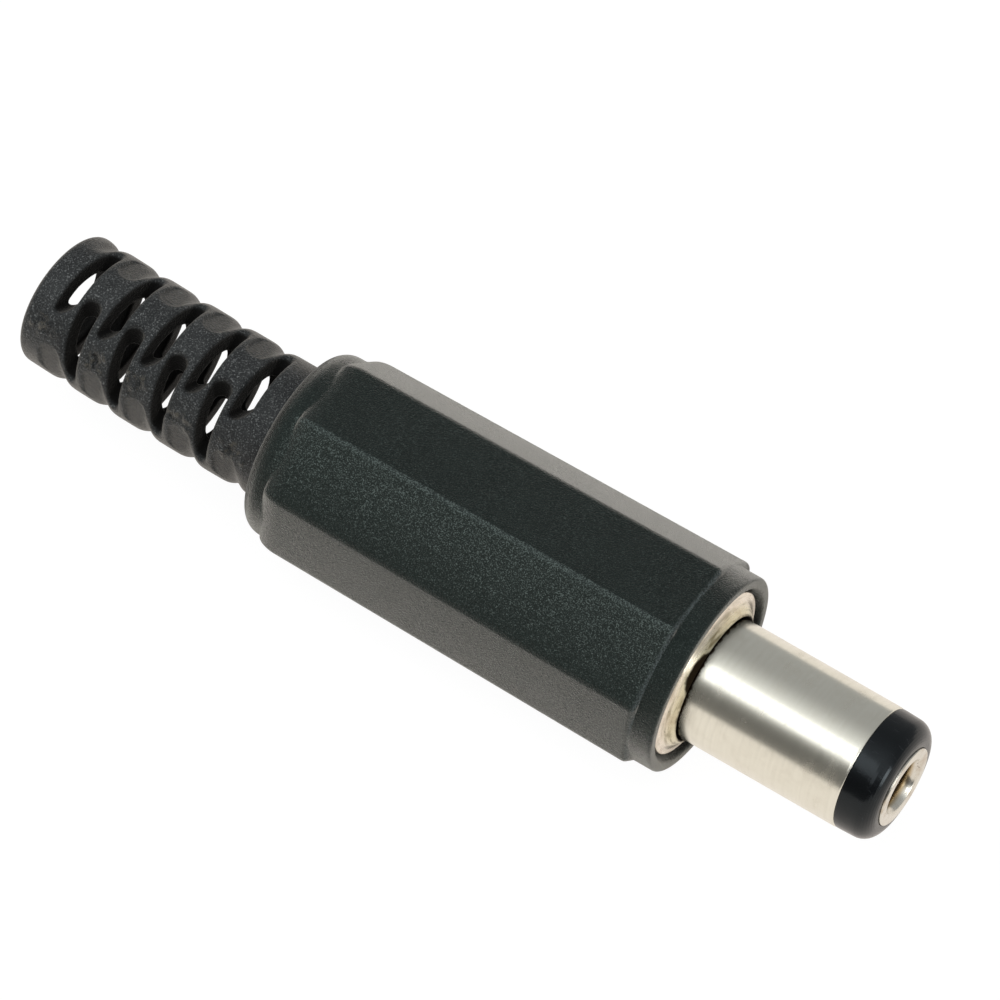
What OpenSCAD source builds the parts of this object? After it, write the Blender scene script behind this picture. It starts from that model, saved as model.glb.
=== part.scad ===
// Screw-on plug for low-voltage power. Its shaft is 9.5 mm long from the metal flange.
// The axis is X, the nose points along +X, and one flat of the handle faces up.
// The origin is on the axis, in the plane of the handle's front rim.

/* [Shaft] */
// Outer diameter of the barrel
barrel_d = 5.5; // [5.4:0.05:5.55]
// Diameter of the hole that takes the jack's pin
pin_hole_d = 2.1; // [1.9:0.1:2.2]
// Length of the shaft in front of the handle's rim
shaft_len = 9.3; // [8.8:0.1:10.8]
// Length of the black nose in front of the barrel
nose_len = 1.63; // [1.3:0.01:1.8]
// Diameter of the flared ring in the nose
flare_d = 3.55; // [3.3:0.05:3.6]

/* [Handle] */
// Distance across the flats at the front of the octagon
flats_front = 9.0; // [8.9:0.05:9.4]
// Distance across the flats at the back of the octagon
flats_rear = 8.55; // [8.4:0.05:9]
// Length of the octagon
octagon_len = 18.2; // [17.5:0.1:20]
// Radius of the octagon's long edges
edge_r = 0.45; // [0.42:0.01:0.6]
// Diameter of the round ring in front of the octagon
rim_d = 8.95; // [8.8:0.05:9]
// Length of the round ring in front of the octagon
rim_len = 0.97; // [0.8:0.01:1.2]
// Diameter of the hole in the rim
mouth_d = 7.87; // [7.8:0.01:8]

/* [Strain relief] */
// Outer diameter of the strain relief
relief_d = 5.9; // [5.7:0.02:6]
// Diameter of the cable hole
cable_d = 4.0; // [3.6:0.1:4.1]
// Length of the strain relief behind the shoulder
relief_len = 11.75; // [11.2:0.05:12.4]
// Lean of the flexible end away from the axis, in degrees
relief_lean = 7; // [2:0.5:8]
// Distance from one level of slots to the next
slot_pitch = 1.083; // [1:0.001:1.11]
// Width of a slot at the surface
slot_w = 0.7; // [0.6:0.02:0.8]

/* [Metal parts] */
// Diameter of the collar's flange
flange_d = 7.5; // [7.3:0.05:7.6]
// Outer diameter of the collar's thread
thread_d = 7.0; // [6.9:0.02:7]
// Thickness of the sheet that the terminals are stamped from
sheet = 0.5; // [0.4:0.05:0.5]

/* [Hidden] */

// Colours
moulding_black = [0.07, 0.07, 0.075];
gloss_black = [0.03, 0.03, 0.035];
nickel = [0.80, 0.76, 0.68];
fibre_brown = [0.30, 0.20, 0.13];
tinned_brass = [0.78, 0.74, 0.62];

// Places along the axis, from the nose to the back
barrel_front = shaft_len - nose_len;
nose_front = shaft_len - 0.08;
barrel_base = -0.2;
flange_face = -0.2;
flange_back = -1.23;
groove_floor = -0.65;
barrel_back = -3.5;
thread_back = -4.6;
spigot_back = thread_back - sheet;
lip_back = spigot_back - 0.2;
washer_back = lip_back - 0.6;
rivet_seat = washer_back - 0.4;
rivet_back = rivet_seat - 0.3;
octagon_front = -rim_len;
octagon_back = octagon_front - octagon_len;
shoulder_round = 0.85;
shoulder_arc_x = octagon_back - 0.23;
shoulder_back = shoulder_arc_x - shoulder_round;
relief_back = shoulder_back - relief_len;

// Radii
barrel_r = barrel_d / 2;
barrel_seat_r = barrel_r - 0.2;
barrel_lip_r = barrel_seat_r + 0.45;
barrel_bore_r = barrel_r - 0.4;
spigot_r = 2.2;
spigot_bore_r = 1.85;
contact_r = 1.4;
contact_bore_r = pin_hole_d / 2;
stub_r = 1.2;
mouth_r = mouth_d / 2;
thread_hole_r = thread_d / 2 + 0.05;
cavity_front_r = 3.4;
cavity_back_r = 3.25;
shoulder_r = 4.15;
relief_r = relief_d / 2;
cable_r = cable_d / 2;
entry_r = cable_r + 0.05;
entry_len = 0.75;

// Strain relief: levels of slots, and the arc that its centre line follows
slot_levels = 9;
first_slot = 1.48;
back_shift = 0.2;
lean_toward = 238;
bend_r = relief_len / (relief_lean * PI / 180);
// The slots are cores drawn straight out of the mould, so they narrow from the surface to their floor.
pull_turn = 31.7;
slot_floor = 0.95;
slot_floor_w = 0.36;
slot_top = relief_r + 0.2;
slot_widen = (slot_w - slot_floor_w) / (relief_r - slot_floor);
slot_end_floor = 0.97;
slot_end_top = -0.87;
slot_reach = relief_r + 0.4;
// Oval pockets pressed into the webs between the slots
pocket_w = 1.0;
pocket_len = 1.7;
pocket_depth = 0.13;
pocket_turn = 62;

overlap = 0.01;

// Turns a profile of [radius, x] points about the X axis.
module turned() {
  rotate([0, 90, 0])
    rotate_extrude($fn = 96)
      children();
}

// Plain hole or rod about the X axis, from x0 to x1.
module rod(r, x0, x1) {
  translate([x0, 0, 0])
    rotate([0, 90, 0])
      cylinder(r = r, h = x1 - x0, $fn = 96);
}

function arc(cx, cr, r, a0, a1, steps) =
  [for (i = [0:steps]) let (a = a0 + (a1 - a0) * i / steps) [cr + r * sin(a), cx + r * cos(a)]];

// ---- Cover ----

// Rounded octagon: eight rods with softened ends, hulled. It narrows towards the back for the mould.
// Each end is its place, its way inwards, its width over the flats, and its rounding's depth and length.
module octagon_handle() {
  corners = 8;
  end_steps = 4;
  slice = 0.01;
  front = [octagon_front, -1, flats_front, 0.3, 0.3];
  back = [octagon_back, 1, flats_rear, 0.38, 0.9];
  hull() {
    for (end = [front, back])
      for (k = [0:corners - 1])
        for (step = [0:end_steps]) {
          a = 90 * step / end_steps;
          inset = end[3] * (1 - cos(a));
          x = end[0] + end[1] * end[4] * (1 - sin(a));
          rotate([180 / corners + 360 / corners * k, 0, 0])
            translate([x, 0, (end[2] / 2 - edge_r) / cos(180 / corners)])
              rotate([0, 90 * -end[1], 0])
                translate([0, 0, -slice])
                  cylinder(r = edge_r - inset, h = slice, $fn = 32);
        }
  }
}

// Round ring at the mouth, the same moulding as the octagon.
module front_ring() {
  round_r = 0.15;
  turned()
    polygon(concat(
      [[mouth_r - 0.6, octagon_front - 1], [mouth_r - 0.6, 0]],
      arc(-round_r, rim_d / 2 - round_r, round_r, 0, 90, 6),
      [[rim_d / 2, octagon_front - 1]]));
}

// Rounded shoulder between the octagon and the strain relief.
module shoulder() {
  turned()
    polygon(concat(
      [[1.5, shoulder_back], [1.5, octagon_back + 1], [shoulder_r, octagon_back + 1]],
      arc(shoulder_arc_x, shoulder_r - shoulder_round, shoulder_round, 90, 180, 8),
      [[relief_r + 0.05, shoulder_back - 0.05]]));
}

// Places its children on the strain relief's bent centre line, at a distance behind the shoulder.
module on_relief(distance) {
  translate([shoulder_back, 0, 0])
    rotate([lean_toward, 0, 0])
      translate([0, 0, bend_r])
        rotate([0, distance / bend_r * 180 / PI, 0])
          translate([0, 0, -bend_r])
            rotate([-lean_toward, 0, 0])
              children();
}

// A round bar that follows the bent centre line, from a little inside the shoulder to past the tail.
module relief_bar(r, inside, past) {
  length = inside + relief_len + past;
  on_relief(-inside)
    rotate([lean_toward, 0, 0])
      translate([0, 0, bend_r])
        rotate([-90, 90, 0])
          rotate_extrude(angle = length / bend_r * 180 / PI, $fn = 720)
            translate([bend_r, 0])
              circle(r = r, $fn = 48);
}

// Takes the sharp rim off the tail.
module tail_rounding() {
  round_r = 0.3;
  lip = 0.02;
  on_relief(relief_len)
    turned()
      polygon(concat(
        [for (a = [0:15:90]) [relief_r + lip - round_r * (1 - sin(a)), round_r * (1 - cos(a)) - lip]],
        [[relief_r + 1, round_r - lip], [relief_r + 1, -1], [relief_r + lip - round_r, -1]]));
}

// One mould core. It lies across the axis: Y is towards the side that it reaches, Z is the pull.
module slot_core() {
  top_w = slot_floor_w + slot_widen * (slot_top - slot_floor);
  floor_reach = slot_reach - slot_end_floor;
  top_reach = slot_reach - slot_end_top;
  translate([0, slot_reach, slot_floor])
    linear_extrude(height = slot_top - slot_floor,
                   scale = [top_w / slot_floor_w, top_reach / floor_reach]) {
      translate([-slot_floor_w / 2, slot_floor_w / 2 - floor_reach])
        square([slot_floor_w, floor_reach - slot_floor_w / 2]);
      translate([0, slot_floor_w / 2 - floor_reach])
        circle(d = slot_floor_w, $fn = 24);
    }
}

// Each level has two slots across from each other. The next level has them on the other sides.
module relief_slots() {
  for (level = [0:slot_levels - 1])
    for (back = [0, 1])
      on_relief(first_slot + level * slot_pitch + back * back_shift)
        rotate([pull_turn + 180 * back, 0, 0])
          mirror([0, level % 2, 0])
            slot_core();
}

// Shallow oval pocket in a web, across from the slot of its level.
module web_pocket() {
  run = pocket_len - pocket_w;
  translate([0, 0, relief_r - pocket_depth])
    linear_extrude(height = 1) {
      square([pocket_w, run], center = true);
      for (end = [-1, 1])
        translate([0, end * run / 2])
          circle(d = pocket_w, $fn = 32);
    }
}

module web_pockets() {
  for (level = [0:slot_levels - 1])
    for (back = [0, 1])
      on_relief(first_slot + level * slot_pitch + back * back_shift)
        rotate([pull_turn + 180 * back + (level % 2 == 0 ? pocket_turn : -pocket_turn), 0, 0])
          web_pocket();
}

// Everything that the insert and the cord go into: mouth, thread, cavity and its funnel.
module cover_hollow() {
  chamfer = 0.12;
  turned()
    polygon([
      [0, overlap], [mouth_r + chamfer + overlap, overlap], [mouth_r, -chamfer],
      [mouth_r, flange_back - 0.02], [thread_hole_r, flange_back - 0.02],
      [thread_hole_r, spigot_back - 0.1], [cavity_front_r, spigot_back - 0.25],
      [cavity_back_r, octagon_back + 0.7], [cable_r - 0.1, shoulder_back + 0.45],
      [0, shoulder_back + 0.45]]);
}

// Cable hole: bent with the strain relief, and a true round entry at the tail.
module cable_hole() {
  relief_bar(cable_r, 0.9, 0.5);
  on_relief(relief_len)
    rod(entry_r, -1, entry_len);
}

module cover() {
  color(moulding_black)
    difference() {
      union() {
        octagon_handle();
        front_ring();
        shoulder();
        relief_bar(relief_r, 0.5, 0);
      }
      tail_rounding();
      cover_hollow();
      cable_hole();
      relief_slots();
      web_pockets();
    }
}

// ---- Shaft ----

// Outer contact: the tube that enters the jack, seated in the collar and rolled over behind it.
module barrel() {
  round_r = 0.1;
  color(nickel)
    turned()
      polygon([
        [barrel_bore_r, barrel_front - 0.05], [barrel_bore_r + 0.05, barrel_front],
        [barrel_r - round_r, barrel_front], [barrel_r, barrel_front - round_r],
        [barrel_r, barrel_base], [barrel_seat_r, groove_floor], [barrel_seat_r, barrel_back + 0.4],
        [barrel_lip_r, barrel_back + 0.2], [barrel_lip_r, barrel_back],
        [barrel_bore_r, barrel_back]]);
}

// Black nose, and the sleeve behind it that keeps the two contacts apart.
module tip_insulator() {
  corner_r = 0.75;
  gap = 0.01;
  sleeve_r = barrel_bore_r - gap;
  bore_r = contact_r + gap;
  color(gloss_black)
    turned()
      polygon(concat(
        [[bore_r, barrel_back], [bore_r, nose_front - 0.3], [flare_d / 2 + gap, nose_front - 0.3],
         [flare_d / 2 + gap, nose_front]],
        [for (a = [0:10:80]) [barrel_r - 0.05 - corner_r * (1 - sin(a)),
                              nose_front - corner_r * (1 - cos(a))]],
        [[barrel_r - 0.02, barrel_front + 0.25], [barrel_r - 0.02, barrel_front],
         [sleeve_r, barrel_front], [sleeve_r, barrel_back]]));
}

// Inner contact: a tube with a flared ring at the nose, and a stub riveted over the short terminal.
module centre_contact() {
  mouth = 0.12;
  bore_end = -2.4;
  color(nickel)
    turned()
      polygon([
        [0, rivet_back], [stub_r + 0.3, rivet_back], [stub_r + 0.3, rivet_seat],
        [stub_r, rivet_seat], [stub_r, lip_back + 0.6], [contact_r, lip_back + 0.6],
        [contact_r, nose_front - 0.3], [flare_d / 2, nose_front - 0.3],
        [flare_d / 2, shaft_len - 0.04], [flare_d / 2 - 0.04, shaft_len],
        [contact_bore_r + mouth, shaft_len], [contact_bore_r, shaft_len - mouth],
        [contact_bore_r, bore_end], [0, bore_end - 0.6]]);
}

// ---- Body behind the shaft ----

// Threaded bush. Its flange closes the handle's mouth, and its spigot is rolled over the long terminal.
module collar() {
  flange_r = flange_d / 2;
  step_r = 3.1;
  groove_r = barrel_r + 0.1;
  pocket_r = barrel_lip_r + 0.05;
  pocket_back = barrel_back - 0.3;
  color(nickel)
    turned()
      polygon([
        [barrel_seat_r, groove_floor], [groove_r, groove_floor], [groove_r, flange_face - 0.12],
        [step_r - 0.06, flange_face - 0.1], [step_r, flange_face],
        [flange_r - 0.08, flange_face], [flange_r, flange_face - 0.08],
        [flange_r, flange_back], [thread_d / 2 - 0.3, flange_back],
        [thread_d / 2 - 0.3, flange_back - 0.35], [thread_d / 2, flange_back - 0.6],
        [thread_d / 2, thread_back + 0.2], [thread_d / 2 - 0.2, thread_back],
        [spigot_r, thread_back], [spigot_r, spigot_back], [spigot_r + 0.2, spigot_back],
        [spigot_r + 0.12, lip_back], [spigot_bore_r, lip_back],
        [spigot_bore_r, pocket_back], [pocket_r, pocket_back],
        [pocket_r, barrel_back + 0.2], [barrel_seat_r, barrel_back + 0.42]]);
}

// Shouldered washer between the two terminals.
module rear_insulator() {
  gap = 0.01;
  bush_front = barrel_back - 0.4;
  washer_r = 2.3;
  color(fibre_brown)
    turned()
      polygon([
        [stub_r + gap, washer_back], [washer_r, washer_back], [washer_r, lip_back],
        [spigot_bore_r - gap, lip_back], [spigot_bore_r - gap, bush_front],
        [contact_r + gap, bush_front], [contact_r + gap, lip_back + 0.59],
        [stub_r + gap, lip_back + 0.59]]);
}

// Long lug: a ring on the collar's spigot, an arm with a solder hole, and ears that close round the cord.
module sleeve_terminal() {
  ring_r = 3.0;
  arm_w = 2.4;
  arm_top = 2.95;
  arm_back = -11.6;
  solder_x = -9.2;
  solder_r = 0.65;
  ear_r = 2.1;
  ear_front = -13.6;
  ear_back = -17.4;
  ear_gap = -0.9;
  color(tinned_brass) {
    difference() {
      union() {
        rod(ring_r, spigot_back, thread_back);
        translate([0, arm_w / 2, 0])
          rotate([90, 0, 0])
            linear_extrude(height = arm_w)
              polygon([
                [thread_back, 2.4], [thread_back, arm_top - 0.15], [thread_back - 0.15, arm_top],
                [arm_back, arm_top], [ear_front, ear_r], [ear_front - 0.6, ear_r],
                [ear_front - 0.6, ear_r - sheet], [ear_front + 0.1, ear_r - sheet],
                [arm_back + 0.1, arm_top - sheet], [spigot_back, arm_top - sheet],
                [spigot_back, 2.4]]);
      }
      rod(spigot_r + 0.01, spigot_back - 1, thread_back + 1);
      translate([solder_x, 0, 0])
        cylinder(r = solder_r, h = 4, $fn = 48);
    }
    difference() {
      rod(ear_r, ear_back, ear_front);
      rod(ear_r - sheet, ear_back - 1, ear_front + 1);
      translate([ear_back - 1, -5, -10 + ear_gap])
        cube([ear_front - ear_back + 2, 10, 10]);
    }
  }
}

// Short lug under the centre contact's riveted stub.
module centre_terminal() {
  thick = washer_back - rivet_seat;
  ring_r = 1.9;
  arm_w = 1.8;
  arm_back = -9.6;
  solder_r = 0.5;
  color(tinned_brass)
    difference() {
      union() {
        rod(ring_r, rivet_seat, washer_back);
        translate([arm_back, -arm_w / 2, -ring_r])
          cube([washer_back - arm_back, arm_w, thick]);
        translate([arm_back, 0, -ring_r])
          cylinder(d = arm_w, h = thick, $fn = 48);
      }
      rod(stub_r + 0.01, rivet_seat - 1, washer_back + 1);
      translate([arm_back, 0, -5])
        cylinder(r = solder_r, h = 5, $fn = 48);
    }
}

cover();
barrel();
collar();
tip_insulator();
centre_contact();
rear_insulator();
sleeve_terminal();
centre_terminal();
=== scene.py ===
# A screw-on power plug with a slotted strain relief, dressed over its CAD solids.
# The axis is X and the nose points along +X, as in the CAD. Sizes are in millimetres unless a note says
# otherwise.
import math
import bpy
import numpy as np
from mathutils import Vector, Matrix


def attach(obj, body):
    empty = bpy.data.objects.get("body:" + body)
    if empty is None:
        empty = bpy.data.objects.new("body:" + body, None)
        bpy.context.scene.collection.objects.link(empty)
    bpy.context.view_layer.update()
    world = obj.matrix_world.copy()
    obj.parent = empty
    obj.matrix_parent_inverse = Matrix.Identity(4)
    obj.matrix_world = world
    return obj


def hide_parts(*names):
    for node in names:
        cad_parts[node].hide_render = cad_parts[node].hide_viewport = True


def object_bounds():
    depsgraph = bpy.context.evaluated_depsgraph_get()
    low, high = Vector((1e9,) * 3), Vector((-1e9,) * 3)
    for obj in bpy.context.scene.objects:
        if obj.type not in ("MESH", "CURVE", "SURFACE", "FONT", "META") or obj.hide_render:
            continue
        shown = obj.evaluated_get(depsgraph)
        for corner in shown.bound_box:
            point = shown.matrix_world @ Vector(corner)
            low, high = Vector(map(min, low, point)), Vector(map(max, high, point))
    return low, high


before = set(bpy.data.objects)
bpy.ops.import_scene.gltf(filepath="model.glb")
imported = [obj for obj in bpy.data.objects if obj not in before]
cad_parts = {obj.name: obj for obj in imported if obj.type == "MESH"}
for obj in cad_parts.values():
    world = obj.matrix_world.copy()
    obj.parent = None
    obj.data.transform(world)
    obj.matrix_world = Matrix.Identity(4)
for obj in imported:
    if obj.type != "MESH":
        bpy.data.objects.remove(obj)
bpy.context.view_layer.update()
mm = 0.001  # metres in a millimetre
print("frame loaded:", len(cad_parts), "solids")

view = {
    "toCamera": (0.2714, -0.5198, 0.8100), "right": (0.8352, 0.5452, 0.0702),
    "lookAt": (-10.485, 0.080, 3.498), "distance": 500.0,
    "lens": 446.0, "sensorWidth": 36.0,
    "clipNear": 0.01, "clipFar": 10.0,  # in metres
}


# a long lens far back, whose axes are the two directions above made square to each other
def addCamera():
    back = Vector(view["toCamera"]).normalized()
    right = Vector(view["right"])
    right = (right - back * right.dot(back)).normalized()
    data = bpy.data.cameras.new("plugCamera")
    data.lens = view["lens"]
    data.sensor_width = view["sensorWidth"]
    data.clip_start = view["clipNear"]
    data.clip_end = view["clipFar"]
    camera = bpy.data.objects.new("plugCamera", data)
    bpy.context.scene.collection.objects.link(camera)
    turn = Matrix((right, back.cross(right), back)).transposed().to_4x4()
    eye = (Vector(view["lookAt"]) + back * view["distance"]) * mm
    camera.matrix_world = Matrix.Translation(eye) @ turn
    bpy.context.scene.camera = camera


addCamera()
bpy.context.scene.view_settings.view_transform = "Standard"
print("camera placed")


# points (n, 3), quads (m, 4) and triangles (k, 3) become one smooth piece, which rides on a body and replaces
# a solid
def addPiece(name, points, quads, body, solid, triangles=()):
    mesh = bpy.data.meshes.new(name)
    corners = np.concatenate([np.asarray(faces, np.int32).ravel() for faces in (quads, triangles)])
    totals = np.repeat([4, 3], [len(quads), len(triangles)]).astype(np.int32)
    mesh.vertices.add(len(points))
    mesh.vertices.foreach_set("co", (np.asarray(points, float) * mm).ravel())
    mesh.loops.add(len(corners))
    mesh.loops.foreach_set("vertex_index", corners)
    mesh.polygons.add(len(totals))
    mesh.polygons.foreach_set("loop_start", (np.cumsum(totals) - totals).astype(np.int32))
    mesh.polygons.foreach_set("loop_total", totals)
    mesh.polygons.foreach_set("use_smooth", np.ones(len(totals), bool))
    mesh.update(calc_edges=True)
    mesh.validate()
    piece = bpy.data.objects.new(name, mesh)
    bpy.context.scene.collection.objects.link(piece)
    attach(piece, body)
    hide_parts(solid)
    return piece


# one number for each point, which a material reads by name
def addMask(piece, name, values):
    mask = piece.data.attributes.new(name, "FLOAT", "POINT")
    mask.data.foreach_set("value", values.ravel().astype(np.float32))


# quads of a grid whose point number is row * columns + column, each row being a closed ring
def gridFaces(rows, columns, closeRows=True):
    i, j = np.meshgrid(np.arange(rows if closeRows else rows - 1), np.arange(columns), indexing="ij")
    nextI, nextJ = (i + 1) % rows, (j + 1) % columns
    quads = [i * columns + j, nextI * columns + j, nextI * columns + nextJ, i * columns + nextJ]
    return np.stack(quads, -1).reshape(-1, 4)


softCorner = {
    "steps": 5, "softness": 0.03,  # points on an arc, and its reach where a profile gives none
    "mostOfEdge": 0.4, "guard": 1.2,  # an arc's largest share of an edge, and its guard points, in reaches
}


# corners P of a closed profile of (x, radius, softness) become arcs (1 - s)^2 A + 2 s (1 - s) P + s^2 B,
# where A and B lie on the two edges, and a guard point beyond each end of an arc keeps the flats flat
def softened(profile):
    p = np.array([place[:2] for place in profile], float)
    soft = np.array([place[2] if len(place) > 2 else softCorner["softness"] for place in profile], float)
    before, after = np.roll(p, 1, 0) - p, np.roll(p, -1, 0) - p
    lengthBefore, lengthAfter = np.linalg.norm(before, axis=1), np.linalg.norm(after, axis=1)
    reach = np.minimum(soft, softCorner["mostOfEdge"] * np.minimum(lengthBefore, lengthAfter))[:, None]
    before = before / lengthBefore[:, None] * reach
    after = after / lengthAfter[:, None] * reach
    s = np.linspace(0, 1, softCorner["steps"])[None, :, None]
    a, b = (p + before)[:, None], (p + after)[:, None]
    arcs = (1 - s) ** 2 * a + 2 * s * (1 - s) * p[:, None] + s ** 2 * b
    guards = [(p + way * softCorner["guard"])[:, None] for way in (before, after)]
    return np.concatenate([guards[0], arcs, guards[1]], 1).reshape(-1, 2)


# rings of radius r at x, carried round the axis along directions: (x, r sideways, r upward)
def turnedPoints(x, r, sideways, upward):
    return np.stack([x + 0 * r * sideways, r * sideways, r * upward], -1).reshape(-1, 3)


# a path of (x, r) carried round the axis: (x, r cos t, r sin t)
def turnedPath(path, turns):
    t = np.linspace(0, 2 * np.pi, turns, endpoint=False)
    return turnedPoints(path[:, :1], path[:, 1:2], np.cos(t), np.sin(t))


# a closed profile with soft corners, carried round the axis
def turnedPiece(name, profile, turns, solid):
    path = softened(profile)
    return addPiece(name, turnedPath(path, turns), gridFaces(len(path), turns), "insert", solid)


# a list of (x, radius all round) as a column of x and a table of radii
def ringTable(rings):
    return np.array([x for x, _ in rings])[:, None], np.array([r for _, r in rings])


# rings of (x, r) with the same radius all round
def roundRings(pairs, turn):
    return [(x, np.full_like(turn, r)) for x, r in pairs]


# the larger of two, with a blend k wide where they are close: max(a, b) + (k - |a - b|)^2 / 4 k
def smoothMax(a, b, k):
    h = np.maximum(k - np.abs(a - b), 0) / k
    return np.maximum(a, b) + h * h * k / 4


# a thread's height from 0 to 1: crest - slope * |phase - 1/2|, where phase is the fraction of
# x / pitch - t / 2 pi + start
def ridge(x, t, pitch, paintedEdgeHighlight, start=0.0, slope=4.2):
    phase = (x / pitch - t / (2 * np.pi) + start) % 1.0
    return np.clip(paintedEdgeHighlight - np.abs(phase - 0.5) * slope, 0, 1)


# cover: octagonal grip with its round rim, shoulder, cavity and thread
grip = {
    "rimR": 4.475, "rimSoft": 0.15, "rimRings": (-0.25, -0.45, -0.7, -0.9), "rimEnd": -1.4,
    "octagonFront": -0.97, "octagonBack": -19.17, "flatsFront": 9.0, "flatsRear": 8.55,  # across the flats
    "edgeR": 0.45, "flatHalf": 20.4, "crown": 0.03,  # flatHalf in degrees from a flat's middle
    "frontRound": 0.3, "backRound": 0.38, "backLength": 0.9, "middleGap": 0.02, "blend": 0.03,
    "seam": 0.002, "shoulderRings": (0.05, 0.12), "shoulderStart": 0.7,
    "shoulderR": 4.15, "shoulderArc": 0.85, "shoulderBack": -20.25,
    "wallRings": (2.9, 2.3), "closeR": 1.9, "closeLip": 0.05, "closeLength": 0.45,
    "funnel": [(-19.6, 2.05), (-19.2, 2.45), (-18.8, 2.9), (-18.55, 3.18), (-18.4, 3.25), (-18.2, 3.252)],
    "cavityR": 3.25, "cavityStart": -18.47, "cavityBack": -17.7, "cavityFront": -5.5,
    "cavityFlare": 0.15 / 13,  # radius gained with each millimetre towards the mouth
    "threadR": 3.55, "threadPitch": 0.75, "threadDepth": 0.22, "threadCrest": 1.35,
    "threadBack": -5.3, "threadFront": -1.45, "fadeBack": 0.4, "fadeFront": 0.25,
    "seat": [(-1.32, 3.56), (-1.28, 3.6), (-1.26, 3.7), (-1.25, 3.9)], "mouthR": 3.935,
    "mouth": [(-1.24, -0.005), (-1.2, 0), (-0.6, 0), (-0.16, 0), (-0.11, 0.01), (-0.02, 0.1), (0.0, 0.14)],
    "deepR": 4.02, "deepFade": 0.05, "deepFront": -0.03, "deepFrontFade": 0.08,
    "rimSteps": 7, "frontSteps": 12, "middleSteps": 40, "backSteps": 16, "cavitySteps": 12, "threadSteps": 80,
    "flatSteps": 15, "cornerSteps": 9,
}
eighth = math.pi / 4


# distance from the axis to a rounded octagon whose flats taper towards the back. With p the angle from the
# nearest flat's middle, a flat is r = a / cos(p), and a corner is an arc about (a - e, (a - e) tan 22.5)
def octagonRadius(x, turn):
    g = grip
    along = (g["octagonFront"] - x) / (g["octagonFront"] - g["octagonBack"])
    p = np.abs((turn + eighth / 2) % eighth - eighth / 2)
    across = g["flatsFront"] + (g["flatsRear"] - g["flatsFront"]) * along
    core = across / 2 - g["crown"] * (2 * p / eighth) ** 2 - g["edgeR"]
    front = np.clip((x - (g["octagonFront"] - g["frontRound"])) / g["frontRound"], 0, 1)
    back = np.clip((g["octagonBack"] + g["backLength"] - x) / g["backLength"], 0, 1)
    inset = g["frontRound"] * (1 - np.sqrt(1 - front ** 2)) + g["backRound"] * (1 - np.sqrt(1 - back ** 2))
    e = g["edgeR"] - inset
    side = core * math.tan(eighth / 2)
    flat = (core + e) / np.cos(p)
    toArc = np.cos(p) * core + np.sin(p) * side
    bend = toArc + np.sqrt(np.maximum(e ** 2 - core ** 2 - side ** 2 + toArc ** 2, 0))
    return np.where(np.tan(p) <= side / (core + e), flat, bend)


# outside, from the rim back: a quarter arc, the larger of the octagon and the round ring at its ends, and the
# shoulder's quarter arc
def gripOutside(turn):
    g = grip
    front, back = g["octagonFront"], g["octagonBack"]
    a = np.linspace(np.pi / 2, 0, g["rimSteps"])
    rimArc = zip(-g["rimSoft"] * (1 - np.sin(a)), g["rimR"] - g["rimSoft"] * (1 - np.cos(a)))
    rings = roundRings([*rimArc, *((x, g["rimR"]) for x in (*g["rimRings"], front + g["seam"]))], turn)
    frontX = front - g["frontRound"] * (1 - np.cos(np.linspace(0, np.pi / 2, g["frontSteps"])))
    middle = front - g["frontRound"] - g["middleGap"], back + g["backLength"] + g["middleGap"]
    middleX = np.linspace(*middle, g["middleSteps"])
    a = np.linspace(np.pi / 2, 0, g["backSteps"])
    backX = back + g["backLength"] * (1 - np.cos(a))
    for x in np.concatenate([frontX, middleX, backX]):
        under = g["rimR"] if x > g["rimEnd"] else g["shoulderR"] if x < back + g["shoulderStart"] else 0.0
        rings.append((x, smoothMax(octagonRadius(x, turn), under, g["blend"])))
    shoulder = [(back - gap, g["shoulderR"]) for gap in (g["seam"], *g["shoulderRings"])]
    arcX = g["shoulderBack"] + g["shoulderArc"] * (1 - np.cos(a))
    arcR = g["shoulderR"] - g["shoulderArc"] * (1 - np.sin(a))
    return rings + roundRings([*shoulder, *zip(arcX, arcR)], turn)


# inside, from the back wall to the mouth: funnel, flared cavity, the thread r = R - depth * ridge, which
# fades at both ends, and the seat of the flange
def gripInside(turn):
    g = grip
    back, closeR = g["shoulderBack"], g["closeR"]
    wall = [(back, r) for r in (*g["wallRings"], closeR + g["closeLip"])]
    wall += [(back + depth, closeR) for depth in (g["closeLip"], g["closeLength"])]
    cavity = [(x, g["cavityR"] + g["cavityFlare"] * (x - g["cavityStart"]))
              for x in np.linspace(g["cavityBack"], g["cavityFront"], g["cavitySteps"])]
    rings = roundRings(wall + g["funnel"] + cavity, turn)
    for x in np.linspace(g["threadBack"], g["threadFront"], g["threadSteps"]):
        fade = min((x - g["threadBack"]) / g["fadeBack"], (g["threadFront"] - x) / g["fadeFront"])
        height = ridge(x, turn, g["threadPitch"], g["threadCrest"]) * np.clip(fade, 0, 1)
        rings.append((x, g["threadR"] - g["threadDepth"] * height))
    mouth = [(x, g["mouthR"] + more) for x, more in g["mouth"]]
    return rings + roundRings(g["seat"] + mouth, turn)


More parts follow.
